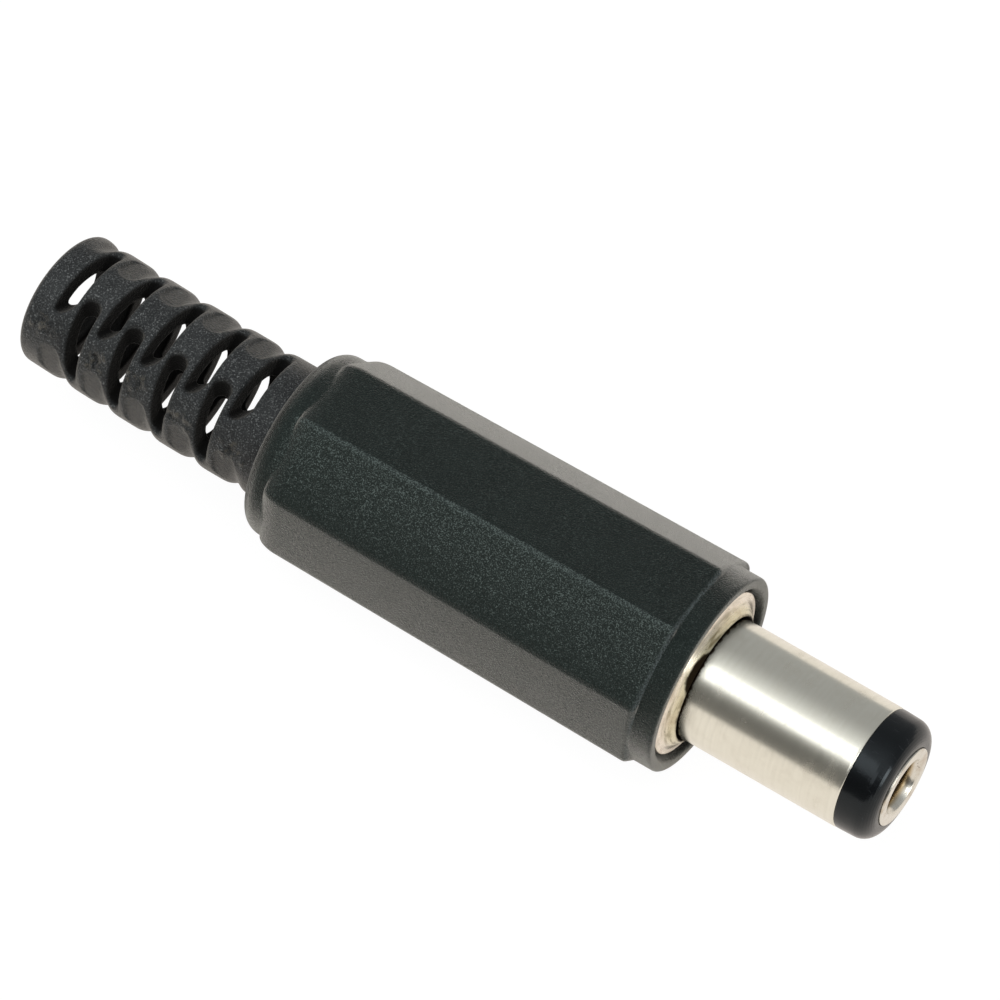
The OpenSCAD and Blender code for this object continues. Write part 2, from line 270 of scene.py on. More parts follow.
# the flats' middles are at 0, 45, 90 ... degrees from +Z: (x, -r sin t, r cos t)
def coverGrip():
    g = grip
    flat = np.linspace(-g["flatHalf"], g["flatHalf"], g["flatSteps"])
    bend = np.linspace(g["flatHalf"], 45 - g["flatHalf"], g["cornerSteps"])[1:-1]
    one = np.radians(np.concatenate([flat, bend]))
    turn = np.concatenate([one + eighth * k for k in range(8)])
    rings = gripOutside(turn) + gripInside(turn)
    x, r = ringTable(rings)
    points = turnedPoints(x, r, -np.sin(turn), np.cos(turn))
    piece = addPiece("cover_grip", points, gridFaces(len(rings), len(turn)), "cover", "cover")
    # painted shade inside the mouth, the cavity and the funnel, but not on the rim or the back wall
    paintedShade = np.clip((g["deepR"] - r) / g["deepFade"], 0, 1) * (x > g["shoulderBack"] + 0.01)
    addMask(piece, "paintedShade", paintedShade * np.clip((g["deepFront"] - x) / g["deepFrontFade"], 0, 1))
    return piece


gripPiece = coverGrip()
print("cover grip made:", len(gripPiece.data.polygons), "faces")

# cover: the strain relief, a bent tube with levels of slots, worked out as a distance field
relief = {
    "start": -20.25, "outerR": 2.95, "holeR": 2.0, "length": 11.75, "inside": 0.45,
    "lean": 7.0, "toward": 238.0, "entryR": 2.05, "entryLength": 0.75, "tailSoft": 0.3, "shellSoft": 0.1,
    "levels": 9, "first": 1.48, "pitch": 1.083, "pullTurn": 31.7, "backShift": 0.3,
    "floor": 0.95, "floorWidth": 0.48, "floorSoft": 0.45, "lipSoft": 0.18, "leastWidth": 0.02,
    "topWidth": (0.84, 0.88), "topShift": (0.10, 0.17), "backTopWidth": 0.72,  # pairs: even and odd levels
    "endFloor": 0.97, "endTop": -0.87, "endSkew": 0.9, "overshoot": 0.2,
    "pocketWidth": 0.50, "pocketReach": 0.85, "pocketDepth": 0.13, "pocketTurn": 60.0, "pocketSoft": 0.06,
    "troughDepth": 0.2, "troughWidth": 0.3, "troughShift": 0.62, "troughFrom": 0.75, "troughFull": 0.98,
    "flashAt": (1.21, 3.80, 6.10, 8.03, 10.79), "flashAcross": (-1.75, -1.6, -1.45, -1.5, -1.45),
    "flashSeed": 7, "flashBlobs": 13, "flashHeight": 0.10, "flashReach": 1.2,
    "flashSpread": (0.28, 0.2), "flashWidth": (0.07, 0.15),
    "low": (-32.4, -3.2, -3.9), "high": (-19.65, 3.8, 3.2), "step": 0.078,  # the lattice
    "settleSteps": 3, "settleShare": 0.8, "settleMost": 0.04, "leastSlope": 0.2,
    "pressedFade": 0.1, "pressedDepth": 0.3, "tornFull": 0.04, "slotFade": 0.08,  # masks for the material
    "slotDeep": (0.10, 0.14), "holeDeep": (0.3, 0.2),  # pairs: depth under the outer radius, and the fade
}
bendR = relief["length"] / math.radians(relief["lean"])
halves = (0.0, 180.0)  # the near and the far row of slots, in degrees
far = 9.0  # further than any point of the tube is from a slot


# two offsets across the tube, seen from axes turned by a: (y cos a + z sin a, z cos a - y sin a)
def spun(y, z, degrees):
    a = math.radians(degrees)
    return y * math.cos(a) + z * math.sin(a), z * math.cos(a) - y * math.sin(a)


# distance along the bent centre line, g R with tan g = -x / (R - z), and the two offsets across it, one of
# which is R - hypot(x, R - z)
def alongRelief(points):
    x = points[:, 0] - relief["start"]
    y, z = spun(points[:, 1], points[:, 2], relief["toward"])
    g = np.arctan2(-x, bendR - z)
    across = bendR - np.hypot(x, bendR - z)
    return g * bendR, *spun(y, across, -relief["toward"])


# a level's distance along the tube: first + level * pitch, and a shift for the far row
def levelPlace(level, half):
    return relief["first"] + level * relief["pitch"] + (relief["backShift"] if half else 0.0)


# below zero in a slot, a tapered bar across the tube: |d| < w(z) and y > e(z), with a round near end and a
# flat floor
def slotField(d, y, z):
    q = relief
    field = np.full_like(d, far)
    for level in range(q["levels"]):
        for half in halves:
            cy, cz = spun(y, z, q["pullTurn"] + half)
            if level % 2:
                cy = -cy
            s = (cz - q["floor"]) / (q["outerR"] - q["floor"])
            topWidth = q["backTopWidth"] if half else q["topWidth"][level % 2]
            topShift = 0.0 if half else q["topShift"][level % 2]
            width = np.maximum((q["floorWidth"] + (topWidth - q["floorWidth"]) * s) / 2, q["leastWidth"])
            sTop = (cz - q["floor"]) / (q["outerR"] + q["overshoot"] - q["floor"])
            end = q["endFloor"] + (q["endTop"] - q["endFloor"]) * sTop
            dx = d - levelPlace(level, half) - topShift * s
            skew = 0.0 if half or level % 2 else q["endSkew"]
            beyond = np.minimum(cy - (end + width - skew * np.clip(dx, -width, width)), 0)
            slot = smoothMax(np.hypot(dx, beyond) - width, q["floor"] - cz, q["floorSoft"])
            field = np.minimum(field, slot)
    return field


# below zero in a shallow oval pocket, hypot(d, |y| - run) < width, pressed into each level's web
def pocketField(d, y, z):
    q = relief
    field = np.full_like(d, far)
    run = q["pocketReach"] - q["pocketWidth"]
    for level in range(q["levels"]):
        side = -1 if level % 2 else 1
        for half in halves:
            cy, cz = spun(y, z, q["pullTurn"] + half + side * q["pocketTurn"])
            dx = d - levelPlace(level, half)
            oval = np.hypot(dx, np.maximum(np.abs(cy) - run, 0)) - q["pocketWidth"]
            field = np.minimum(field, smoothMax(oval, q["outerR"] - q["pocketDepth"] - cz, q["pocketSoft"]))
    return field


# where a slot runs out at the side, the bar narrows by depth * exp(-(d / width)^2)
def troughs(d, y, z):
    q = relief
    side = spun(y, z, q["pullTurn"])[0] / np.maximum(np.hypot(y, z), 0.1)
    depth = np.zeros_like(d)
    for level in range(-1, q["levels"]):
        toward = -side if level % 2 else side
        share = np.clip((toward - q["troughFrom"]) / (q["troughFull"] - q["troughFrom"]), 0, 1)
        share = share * share * (3 - 2 * share)
        depth += share * np.exp(-((d - levelPlace(level, 0.0) - q["troughShift"]) / q["troughWidth"]) ** 2)
    return q["troughDepth"] * depth


# torn flash where the cores shut off: humps and pits, the sum of h * exp(-(distance / w)^2) round each place
def flashMarks(d, y, z):
    q = relief
    cy, cz = spun(y, z, q["pullTurn"])
    draw = np.random.default_rng(q["flashSeed"])
    height = np.zeros_like(d)
    for at, across in zip(q["flashAt"], q["flashAcross"]):
        near = (cz > 0) & (np.abs(d - at) < q["flashReach"]) & (np.abs(cy - across) < q["flashReach"])
        for _ in range(q["flashBlobs"]):
            along, side = draw.normal(0, q["flashSpread"][0]), draw.normal(0, q["flashSpread"][1])
            wide = draw.uniform(*q["flashWidth"])
            tall = q["flashHeight"] * draw.choice([-1.0, 0.8]) * draw.uniform(0.5, 1.0)
            gap = (d[near] - at - along) ** 2 + (cy[near] - across - side) ** 2
            height[near] += tall * np.exp(-gap / wide ** 2)
    return height


# below zero in the plastic: the bent tube less its hole, its pockets and its slots, with soft lips. The
# tail's rim is a quarter circle, the hypot of both overshoots
def reliefField(points):
    q = relief
    d, y, z = alongRelief(points)
    r = np.hypot(y, z)
    bar = r - q["outerR"] + troughs(d, y, z) - flashMarks(d, y, z)
    ends = np.maximum(d - q["length"], -q["inside"] - d)
    soft = q["tailSoft"]
    outer = np.hypot(np.maximum(bar + soft, 0), np.maximum(ends + soft, 0))
    outer = outer + np.minimum(np.maximum(bar, ends) + soft, 0) - soft
    hole = r - np.where(d > q["length"] - q["entryLength"], q["entryR"], q["holeR"])
    shell = smoothMax(outer, -hole, q["shellSoft"])
    shell = smoothMax(shell, -pocketField(d, y, z), q["shellSoft"])
    return smoothMax(shell, -slotField(d, y, z), q["lipSoft"])


# the surface where a field on a lattice is zero: one point for each crossed cell, at the mean of its edges'
# crossings, and one quad across each lattice edge that changes sign
def skinOf(field, low, step):
    cells = tuple(n - 1 for n in field.shape)
    total, count = np.zeros(cells + (3,)), np.zeros(cells)
    inside = field < 0
    lower, upper, middle = slice(0, -1), slice(1, None), slice(1, -1)
    crossings = []
    for axis in range(3):
        near, beyond = [slice(None)] * 3, [slice(None)] * 3
        near[axis], beyond[axis] = lower, upper
        near, beyond = tuple(near), tuple(beyond)
        crossed = inside[near] != inside[beyond]
        t = np.where(crossed, field[near] / np.where(crossed, field[near] - field[beyond], 1.0), 0.0)
        crossings.append((crossed, inside[near]))
        u, v = (axis + 1) % 3, (axis + 2) % 3
        for du in (0, 1):
            for dv in (0, 1):
                part = [slice(None)] * 3
                part[u], part[v] = (lower, upper)[du], (lower, upper)[dv]
                hit = crossed[tuple(part)]
                total[..., axis] += t[tuple(part)] * hit
                total[..., u] += du * hit
                total[..., v] += dv * hit
                count += hit
    used = count > 0
    number = np.full(cells, -1, np.int64)
    number[used] = np.arange(used.sum())
    points = low + step * (np.argwhere(used) + total[used] / count[used][:, None])
    quads = []
    for axis, (crossed, lowInside) in enumerate(crossings):
        u, v = (axis + 1) % 3, (axis + 2) % 3
        inner = [slice(None)] * 3
        inner[u], inner[v] = middle, middle
        spot = np.argwhere(crossed[tuple(inner)])
        spot[:, (u, v)] += 1
        ring = []
        for du, dv in ((1, 1), (0, 1), (0, 0), (1, 0)):
            cell = spot.copy()
            cell[:, u] -= du
            cell[:, v] -= dv
            ring.append(number[tuple(cell.T)])
        ring = np.stack(ring, -1)
        quads.append(np.where(lowInside[tuple(spot.T)][:, None], ring, ring[:, ::-1]))
    return points, np.concatenate(quads)


# the skin of the field, whose points then step down the slope, by share * f * slope / |slope|^2, onto the
# surface
def reliefTube():
    q = relief
    low = np.array(q["low"])
    axes = [np.arange(a, b, q["step"]) for a, b in zip(q["low"], q["high"])]
    lattice = np.stack(np.meshgrid(*axes, indexing="ij"), -1)
    field = reliefField(lattice.reshape(-1, 3)).reshape(lattice.shape[:3])
    points, quads = skinOf(field, low, q["step"])
    h = 0.01  # the distance over which the slope is taken
    for _ in range(q["settleSteps"]):
        f = reliefField(points)
        slope = [(reliefField(points + h * e) - reliefField(points - h * e)) / (2 * h) for e in np.eye(3)]
        slope = np.stack(slope, -1)
        way = q["settleShare"] * f / np.maximum((slope ** 2).sum(1), q["leastSlope"])
        points = points - np.clip(way, -q["settleMost"], q["settleMost"])[:, None] * slope
    piece = addPiece("cover_relief", points, quads, "cover", "cover")
    # masks for the material, among them painted shade in the slots and the hole, below the outer radius
    d, y, z = alongRelief(points)
    under = q["outerR"] - np.hypot(y, z)
    inSlot, inHole = (np.clip((under - depth) / fade, 0, 1) for depth, fade in (q["slotDeep"], q["holeDeep"]))
    inSlot = inSlot * np.clip(1 - slotField(d, y, z) / q["slotFade"], 0, 1)
    pressed = np.clip(0.5 - pocketField(d, y, z) / q["pressedFade"], 0, 1)
    addMask(piece, "pressed", pressed * (under < q["pressedDepth"]))
    addMask(piece, "torn", np.clip(np.abs(flashMarks(d, y, z)) / q["tornFull"], 0, 1))
    addMask(piece, "paintedShade", np.maximum(inSlot, inHole))
    return piece


reliefPiece = reliefTube()
print("strain relief made:", len(reliefPiece.data.polygons), "faces")

# shaft: profiles of (x, radius, softness)
barrel = {
    "turns": 192,
    "profile": [(7.62, 2.35, 0.02), (7.67, 2.40, 0.02), (7.67, 2.75, 0.12), (-0.2, 2.75, 0.05),
                (-0.65, 2.55, 0.05), (-3.1, 2.55, 0.05), (-3.3, 3.0, 0.08), (-3.5, 3.0, 0.08),
                (-3.5, 2.35, 0.05)],
}
nose = {
    "turns": 192, "front": 9.22, "corner": 0.75, "cornerSteps": 10, "cornerSoft": 0.005, "inset": 0.02,
    "bodyR": 2.73, "seatX": 8.92, "flareR": 1.785, "flareSoft": 0.05, "boreR": 1.41,
    "stepX": 7.67, "foldX": 7.9, "sleeveR": 2.34, "back": -3.5,
}
contact = {
    "turns": 128,
    "profile": [(-2.9, 0.2, 0.02), (-2.4, 1.05, 0.05), (8.98, 1.05, 0.16), (9.3, 1.30, 0.08),
                (9.3, 1.775, 0.06), (8.92, 1.775, 0.02), (8.92, 1.4, 0.02), (-4.7, 1.4, 0.02),
                (-4.7, 1.2, 0.02), (-6.3, 1.2, 0.02), (-6.3, 1.5, 0.05), (-6.6, 1.5, 0.12), (-6.6, 0.4, 0.02)],
    "poles": (-3.0, -6.6),  # the bottom of the bore and the middle of the riveted end
}


# the bore and its seat, the front corner as a quarter arc, and the sleeve that fills the barrel
def noseProfile():
    n = nose
    bore = [(n["back"], n["boreR"]), (n["seatX"], n["boreR"]), (n["seatX"], n["flareR"])]
    flare = [(n["front"], n["flareR"], n["flareSoft"])]
    arc = [(n["front"] - n["corner"] * (1 - math.cos(a)),
            n["bodyR"] - n["inset"] - n["corner"] * (1 - math.sin(a)), n["cornerSoft"])
           for a in np.linspace(0, np.pi / 2, n["cornerSteps"])]
    body = [(n["foldX"], n["bodyR"]), (n["stepX"], n["bodyR"])]
    sleeve = [(n["stepX"], n["sleeveR"]), (n["back"], n["sleeveR"])]
    return bore + flare + arc + body + sleeve


# a turned profile whose first and last rings close on the axis, each with a fan to its pole (x, 0, 0)
def contactTube():
    turns = contact["turns"]
    path = softened(contact["profile"])
    points = np.concatenate([turnedPath(path, turns), [(x, 0.0, 0.0) for x in contact["poles"]]])
    j = np.arange(turns)
    nextJ = (j + 1) % turns
    first = len(path) * turns
    end = first - turns
    fans = np.concatenate([np.stack([np.full(turns, first), j, nextJ], -1),
                           np.stack([end + j, np.full(turns, first + 1), end + nextJ], -1)])
    quads = gridFaces(len(path), turns, closeRows=False)
    return addPiece("centre_contact_tube", points, quads, "insert", "centre_contact", fans)


barrelPiece = turnedPiece("barrel_tube", barrel["profile"], barrel["turns"], "barrel")
nosePiece = turnedPiece("nose_insulator", noseProfile(), nose["turns"], "tip_insulator")
contactPiece = contactTube()

collar = {
    "turns": 160, "threadPitch": 0.75, "threadDepth": 0.24, "threadR": 3.5, "rootR": 3.2, "threadCrest": 1.45,
    "threadFront": -1.7, "threadBack": -4.5, "fadeFront": 0.25, "fadeBack": 0.3,
    "threadSteps": 90,
    "front": [(-0.65, 2.55, 0.01), (-0.65, 2.83, 0.02), (0.17, 2.83, 0.03), (0.24, 2.88, 0.05),
              (-0.20, 3.46, 0.16), (-0.20, 3.75, 0.07), (-1.23, 3.75, 0.07), (-1.23, 3.2, 0.04),
              (-1.58, 3.2, 0.04)],
    "back": [(-4.6, 3.2, 0.04), (-4.6, 2.2, 0.04), (-5.1, 2.2, 0.02), (-5.1, 2.4, 0.02), (-5.3, 2.32, 0.05),
             (-5.3, 1.85, 0.04), (-3.8, 1.85, 0.04), (-3.8, 3.05, 0.04), (-3.3, 3.05, 0.04),
             (-3.08, 2.55, 0.04)],
}


# a turned bush whose thread, r = R - depth * (1 - ridge), runs out to the root's radius at both ends
def collarBush():
    c = collar
    t = np.linspace(0, 2 * np.pi, c["turns"], endpoint=False)
    path = softened(c["front"] + c["back"])
    split = len(c["front"]) * (softCorner["steps"] + 2)
    rings = roundRings(path[:split], t)
    rise = c["threadR"] - c["rootR"]
    for x in np.linspace(c["threadFront"], c["threadBack"], c["threadSteps"]):
        fade = min((c["threadFront"] - x) / c["fadeFront"], (x - c["threadBack"]) / c["fadeBack"])
        height = ridge(x, t, c["threadPitch"], c["threadCrest"], start=0.5)
        rings.append((x, c["rootR"] + (rise - c["threadDepth"] * (1 - height)) * np.clip(fade, 0, 1)))
    x, r = ringTable(rings + roundRings(path[split:], t))
    points = turnedPoints(x, r, np.cos(t), np.sin(t))
    return addPiece("collar_bush", points, gridFaces(len(x), c["turns"]), "insert", "collar")


collarPiece = collarBush()
print("shaft and collar made")


# an empty shader node group: a vector and some numbers go in, and numbers come out
def newGroup(name, outputs, **numbers):
    group = bpy.data.node_groups.new(name, "ShaderNodeTree")
    group.interface.new_socket(name="Vector", in_out="INPUT", socket_type="NodeSocketVector")
    for label, value in numbers.items():
        socket = group.interface.new_socket(name=label, in_out="INPUT", socket_type="NodeSocketFloat")
        socket.default_value = value
    for label in outputs:
        group.interface.new_socket(name=label, in_out="OUTPUT", socket_type="NodeSocketFloat")
    return group, group.nodes.new("NodeGroupInput").outputs, group.nodes.new("NodeGroupOutput").inputs


# a group placed in a material, with its inputs by name
def useGroup(tree, group, **values):
    made = tree.nodes.new("ShaderNodeGroup")
    made.node_tree = group
    for key, value in values.items():
        setSocket(tree, made.inputs[key], value)
    return made.outputs


# a node with its sockets and settings by name
def node(tree, kind, **values):
    made = tree.nodes.new(kind)
    for key, value in values.items():
        if key in made.inputs:
            made.inputs[key].default_value = value
        else:
            setattr(made, key, value)
    return made


# a socket takes a number or a colour as its own value, and anything else as a link
def setSocket(tree, socket, value):
    if isinstance(value, (int, float)):
        socket.default_value = value
    elif isinstance(value, tuple):
        socket.default_value = (*value, 1.0)
    else:
        tree.links.new(value, socket)


def mathNode(tree, operation, a, b=None, clamp=False):
    made = tree.nodes.new("ShaderNodeMath")
    made.operation = operation
    made.use_clamp = clamp
    setSocket(tree, made.inputs[0], a)
    if b is not None:
        setSocket(tree, made.inputs[1], b)
    return made.outputs[0]


def multiply(tree, a, b, clamp=False):
    return mathNode(tree, "MULTIPLY", a, b, clamp)


def add(tree, a, b, clamp=False):
    return mathNode(tree, "ADD", a, b, clamp)


def subtract(tree, a, b):
    return mathNode(tree, "SUBTRACT", a, b)


# 0 up to low, 1 from high and smooth between, or the other way round where low is the larger
def ramp(tree, value, low, high):
    made = node(tree, "ShaderNodeMapRange", interpolation_type="SMOOTHSTEP")
    made.inputs["From Min"].default_value = low
    made.inputs["From Max"].default_value = high
    tree.links.new(value, made.inputs["Value"])
    return made.outputs["Result"]


# 1 below low, 0 above high
def fall(tree, value, low, high):
    return subtract(tree, 1.0, ramp(tree, value, low, high))


# rises over one pair of values and falls over the other, both times a unit
def band(tree, value, up, down, unit=1.0):
    up, down = ([v * unit for v in pair] for pair in (up, down))
    return multiply(tree, ramp(tree, value, *up), fall(tree, value, *down))


def mixColour(tree, factor, a, b, blend="MIX"):
    made = node(tree, "ShaderNodeMix", data_type="RGBA", blend_type=blend)
    for number, value in ((0, factor), (6, a), (7, b)):
        setSocket(tree, made.inputs[number], value)
    return made.outputs[2]


def noise(tree, vector, scale, detail=3.0, rough=0.55):
    made = node(tree, "ShaderNodeTexNoise", Scale=scale, Detail=detail, Roughness=rough)
    tree.links.new(vector, made.inputs["Vector"])
    return made.outputs["Fac"]


# Object coordinates turned to millimetres, and stretched along each axis
def millimetres(tree, stretch=(1.0, 1.0, 1.0)):
    source = node(tree, "ShaderNodeTexCoord")
    scaled = node(tree, "ShaderNodeMapping")
    scaled.inputs["Scale"].default_value = tuple(s / mm for s in stretch)
    tree.links.new(source.outputs["Object"], scaled.inputs["Vector"])
    return scaled.outputs["Vector"]


def separate(tree, vector):
    made = node(tree, "ShaderNodeSeparateXYZ")
    tree.links.new(vector, made.inputs[0])
    return made.outputs["X"], made.outputs["Y"], made.outputs["Z"]


def combine(tree, x, y, z):
    made = node(tree, "ShaderNodeCombineXYZ")
    for socket, value in zip(made.inputs, (x, y, z)):
        tree.links.new(value, socket)
    return made.outputs[0]


# the vector across the axis, in millimetres, and its length
def acrossAxis(tree):
    flat = millimetres(tree, (0.0, 1.0, 1.0))
    length = node(tree, "ShaderNodeVectorMath", operation="LENGTH")
    tree.links.new(flat, length.inputs[0])
    return flat, length.outputs["Value"]


# spark-eroded mould grain: overlapping pits, and pale specks at random places, which are painted glints
def grainGroup():
    group, taken, given = newGroup("sparkGrain", ("Height", "PaintedGlint", "Grit", "Cloud"), Pitch=12.0)
    fine = node(group, "ShaderNodeTexNoise", Detail=2.0, Roughness=0.6)
    cells = node(group, "ShaderNodeTexVoronoi", feature="F1")
    glints = node(group, "ShaderNodeTexNoise", Detail=1.0, Roughness=0.5)
    for made, share in ((fine, 0.8), (cells, 1.0), (glints, 1.15)):
        group.links.new(taken["Vector"], made.inputs["Vector"])
        group.links.new(multiply(group, taken["Pitch"], share), made.inputs["Scale"])
    pits = multiply(group, cells.outputs["Distance"], 0.7)
    pick = node(group, "ShaderNodeSeparateColor")
    group.links.new(cells.outputs["Color"], pick.inputs["Color"])
    chosen = mathNode(group, "POWER", pick.outputs["Red"], 1.8)
    speck = ramp(group, glints.outputs["Fac"], 0.47, 0.70)
    group.links.new(add(group, pits, multiply(group, fine.outputs["Fac"], 0.8)), given["Height"])
    group.links.new(multiply(group, speck, add(group, chosen, 0.25)), given["PaintedGlint"])
    group.links.new(ramp(group, fine.outputs["Fac"], 0.3, 0.7), given["Grit"])
    group.links.new(noise(group, taken["Vector"], scale=0.55, detail=4.0, rough=0.6), given["Cloud"])
    return group


# rubbed edges: where the rounded normal turns away from the true one, broken up by noise
def edgeWearGroup():
    group, taken, given = newGroup("edgeWear", ("Worn",), Radius=0.0002)
    rounded = node(group, "ShaderNodeBevel", samples=4)
    group.links.new(taken["Radius"], rounded.inputs["Radius"])
    true = node(group, "ShaderNodeNewGeometry")
    dot = node(group, "ShaderNodeVectorMath", operation="DOT_PRODUCT")
    group.links.new(rounded.outputs["Normal"], dot.inputs[0])
    group.links.new(true.outputs["Normal"], dot.inputs[1])
    edge = ramp(group, subtract(group, 1.0, dot.outputs["Value"]), 0.002, 0.06)
    broken = ramp(group, noise(group, taken["Vector"], scale=2.2, detail=5.0, rough=0.7), 0.38, 0.66)
    group.links.new(multiply(group, edge, broken), given["Worn"])
    return group


# fine rings left by turning or rolling: noise that varies along X, with a little drift round the axis
def turningGroup():
    group, taken, given = newGroup("turningLines", ("Height", "Streak"))
    drift = 0.06
    x, y, z = separate(group, taken["Vector"])
    rings = combine(group, x, multiply(group, y, drift), multiply(group, z, drift))
    streak = noise(group, rings, scale=6.0, detail=3.0, rough=0.6)
    group.links.new(noise(group, rings, scale=22.0, detail=4.0, rough=0.65), given["Height"])
    group.links.new(ramp(group, streak, 0.35, 0.7), given["Streak"])
    return group


# handling marks: soft clouds and a few specks
def stainGroup():
    group, taken, given = newGroup("handlingStains", ("Stain", "Speck"), Amount=0.5)
    cloud = ramp(group, noise(group, taken["Vector"], scale=1.1, detail=5.0, rough=0.62), 0.45, 0.75)
    speck = ramp(group, noise(group, taken["Vector"], scale=7.0, detail=2.0, rough=0.5), 0.69, 0.76)
    group.links.new(multiply(group, cloud, taken["Amount"], clamp=True), given["Stain"])
    group.links.new(multiply(group, speck, taken["Amount"], clamp=True), given["Speck"])
    return group


grain = grainGroup()
edgeWear = edgeWearGroup()
turning = turningGroup()
stains = stainGroup()


# constants go on the shader's own sockets: Sheen_Weight=0.2 sets the socket Sheen Weight
def newMaterial(name, **sockets):
    material = bpy.data.materials.new(name)
    material.use_nodes = True
    shader = material.node_tree.nodes["Principled BSDF"]
    for key, value in sockets.items():
        shader.inputs[key.replace("_", " ")].default_value = value
    return material, material.node_tree, shader


def feed(tree, shader, colour, roughness):
    tree.links.new(colour, shader.inputs["Base Color"])
    tree.links.new(roughness, shader.inputs["Roughness"])


# depth in metres
def bump(tree, shader, height, depth, strength=1.0, after=None):
    made = node(tree, "ShaderNodeBump", Distance=depth, Strength=strength)
    tree.links.new(height, made.inputs["Height"])
    if after is not None:
        tree.links.new(after, made.inputs["Normal"])
    tree.links.new(made.outputs["Normal"], shader.inputs["Normal"])
    return made.outputs["Normal"]


# colours are linear, depths and radii in metres
gripFinish = {
    "dark": (0.0009, 0.0026, 0.0023), "light": (0.0024, 0.0050, 0.0044), "paintedGlint": (0.105, 0.132, 0.124),
    "paintedFacetLight": (0.0078, 0.0108, 0.0098), "worn": (0.07, 0.07, 0.068), "paintedGrazingSheen": (0.185, 0.176, 0.159),
    "paintedEdgeHighlight": (0.085, 0.100, 0.104), "pressed": (0.05, 0.05, 0.045), "torn": (0.05, 0.05, 0.045),
    "paintedShade": (0.0020, 0.0014, 0.0010), "tornDepth": 0.00012, "wornRadius": 0.00012, "wornShare": 0.6,
    "roughness": 0.44, "cloudGloss": 0.14, "tornRough": 0.12, "deepRough": 0.45,
    "grainPitch": 17.0, "grainDepth": 0.000036, "paintedGlintShare": 0.42,
    "specular": 0.32, "specularTint": (0.75, 0.96, 0.90, 1.0),
    "sheen": 0.75, "sheenRoughness": 0.34, "sheenTint": (1.0, 0.97, 0.90, 1.0),
}
reliefFinish = dict(
    gripFinish, dark=(0.014, 0.0155, 0.0168), light=(0.027, 0.0292, 0.0304), paintedGlint=(0.19, 0.20, 0.20),
    paintedFacetLight=(0.020, 0.0218, 0.0228), paintedEdgeHighlight=(0.020, 0.0218, 0.0228), paintedGrazingSheen=(0.080, 0.076, 0.067),
    pressed=(0.026, 0.0245, 0.021), torn=(0.10, 0.093, 0.076), roughness=0.42,
    grainPitch=13.0, grainDepth=0.00003, paintedGlintShare=0.8,
    specular=0.30, specularTint=(0.94, 1.0, 1.0, 1.0), sheen=0.22,
)
# painted light where the lamp falls: facet and corner in degrees from +Z, the rest along X, each over a rise
# and a fall
paintedLightPlaces = {
    "facet": ((-75.0, -24.0), (-21.8, -20.8)), "corner": ((-24.6, -23.0), (-21.4, -20.4)),
    "octagon": ((-19.5, -19.1), (-1.16, -1.02)), "frontEdge": ((-1.20, -1.04), (-0.99, -0.96)),
    "cornerHighlightShare": 0.32, "facetPaintedGlints": 1.4, "cornerPaintedGlints": 2.4,
}


# masks for painted light: the facet beside the top one and the corner between them, over the octagon alone, so
# that the round rim and shoulder keep one tone, and the octagon's front edge
def paintedLightMasks(tree, v):
    x, y, z = separate(tree, v)
    turn = mathNode(tree, "ARCTAN2", y, z)
    octagon = band(tree, x, *paintedLightPlaces["octagon"])
    facet = multiply(tree, band(tree, turn, *paintedLightPlaces["facet"], unit=math.radians(1)), octagon)
    edge = multiply(tree, band(tree, turn, *paintedLightPlaces["corner"], unit=math.radians(1)), octagon)
    return facet, edge, band(tree, x, *paintedLightPlaces["frontEdge"])
